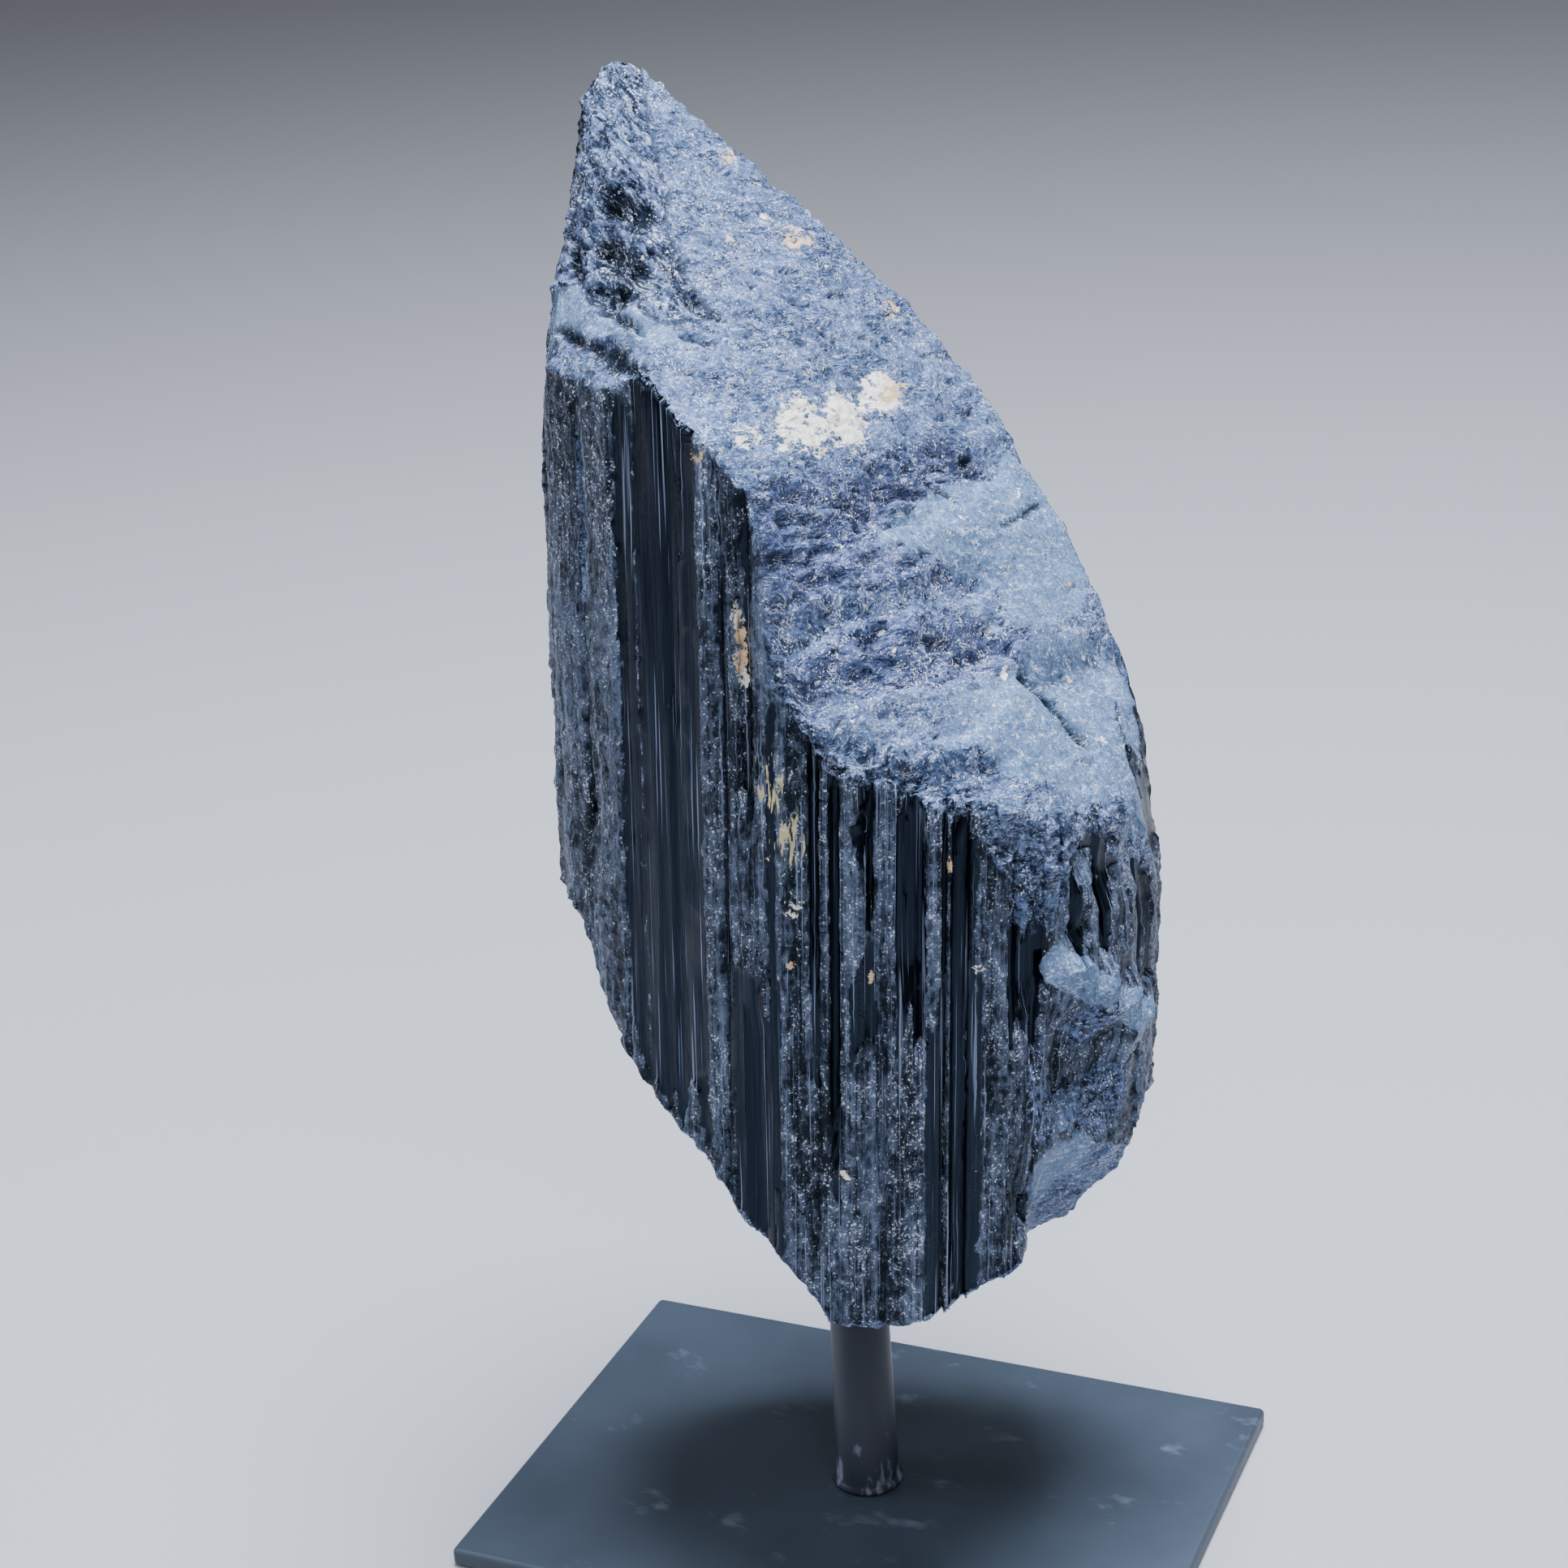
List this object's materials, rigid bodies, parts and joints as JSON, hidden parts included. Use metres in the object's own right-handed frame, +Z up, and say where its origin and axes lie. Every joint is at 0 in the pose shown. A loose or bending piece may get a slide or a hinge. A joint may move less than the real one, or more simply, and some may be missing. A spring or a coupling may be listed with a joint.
{
  "type": "black tourmaline on stand",
  "caption": "Black tourmaline crystal, a striated prism broken across its top and underside, held up by a tapered post on a flat rectangular plate for display.",
  "frame": {"origin": "centre of the underside of the base plate", "axes": "+Z up along the post; +X along the plate's long side; +Y towards the back of the crystal, whose broad front faces -Y and is turned a little towards +X"},
  "size_m": [0.127, 0.0888, 0.2591],
  "materials": {
    "tourmaline": "opaque black mineral, glossy striated sides and granular blue-grey broken faces",
    "post_paint": "satin black paint",
    "plate_paint": "matte black powder coat"
  },
  "bodies": {
    "root": {"crystal": "tourmaline", "post": "post_paint", "base_plate": "plate_paint"}
  },
  "joints": []
}
